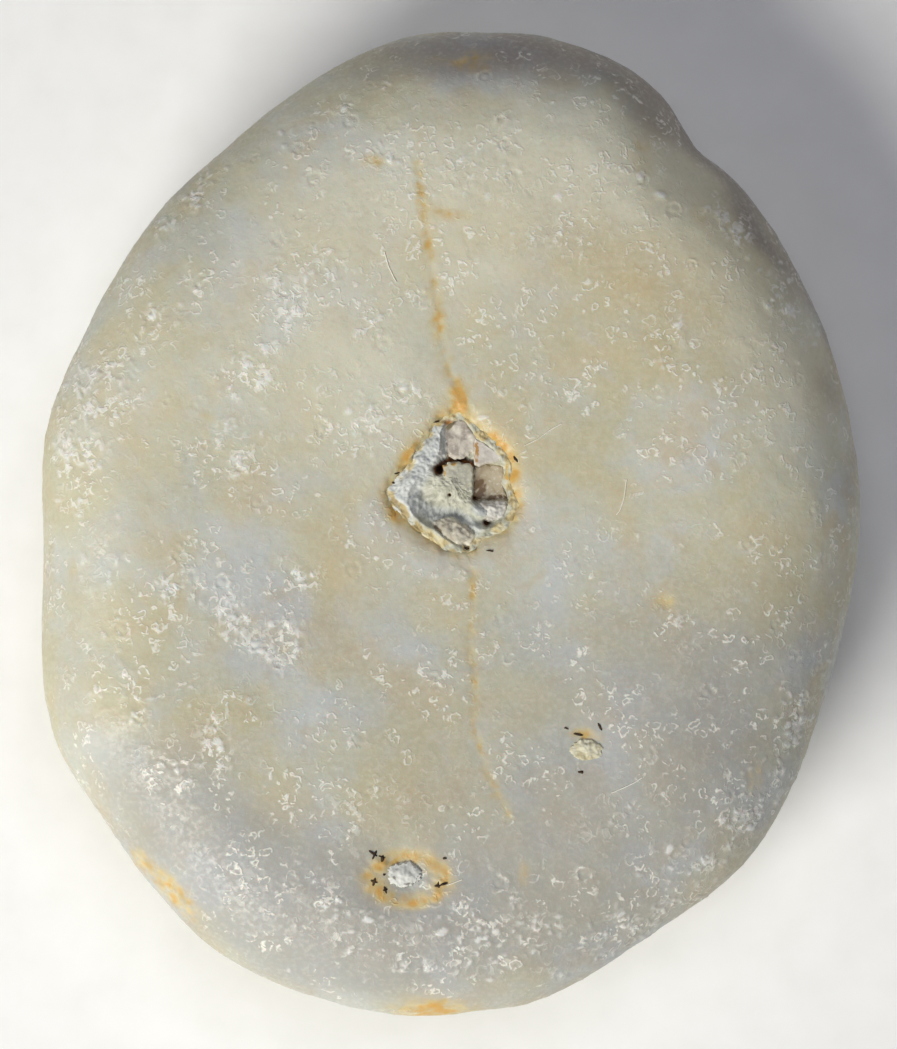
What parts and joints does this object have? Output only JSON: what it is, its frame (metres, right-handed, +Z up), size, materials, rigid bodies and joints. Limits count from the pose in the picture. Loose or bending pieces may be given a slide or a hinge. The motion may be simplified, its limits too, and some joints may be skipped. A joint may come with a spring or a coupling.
{
  "type": "sand dollar",
  "caption": "Small fossil sand dollar, egg-shaped and thick-rimmed, lying on its dome with the mouth side up and sediment and shell chips lodged in the mouth.",
  "frame": {"origin": "on the surface it rests on, under the middle of its outline", "axes": "+Z up, out of the mouth side; +Y towards the narrower front end, away from the vent; +X to the right"},
  "size_m": [0.02, 0.024, 0.0062],
  "materials": {
    "worn_calcite": "worn, granular, faintly glossy, mottled cream, grey and ochre",
    "grey_sediment": "rough, crumbly, matt",
    "buff_sediment": "granular, matt",
    "pinkish_chip": "thin chip, slightly glossy",
    "white_chip": "thin chip, matt",
    "tan_chip": "thin chip, smooth",
    "cream_chip": "thin chip, smooth",
    "cream_crumb": "rounded crumb, matt"
  },
  "bodies": {
    "root": {"test": "worn_calcite", "mouth_sediment": "grey_sediment", "mouth_chip_front": "pinkish_chip", "mouth_chip_front_right": "white_chip", "mouth_chip_right": "tan_chip", "mouth_chip_middle": "cream_chip", "mouth_crumb_right": "cream_crumb", "mouth_crumb_back": "cream_crumb", "vent_sediment": "grey_sediment", "pit_sediment": "buff_sediment"}
  },
  "joints": []
}
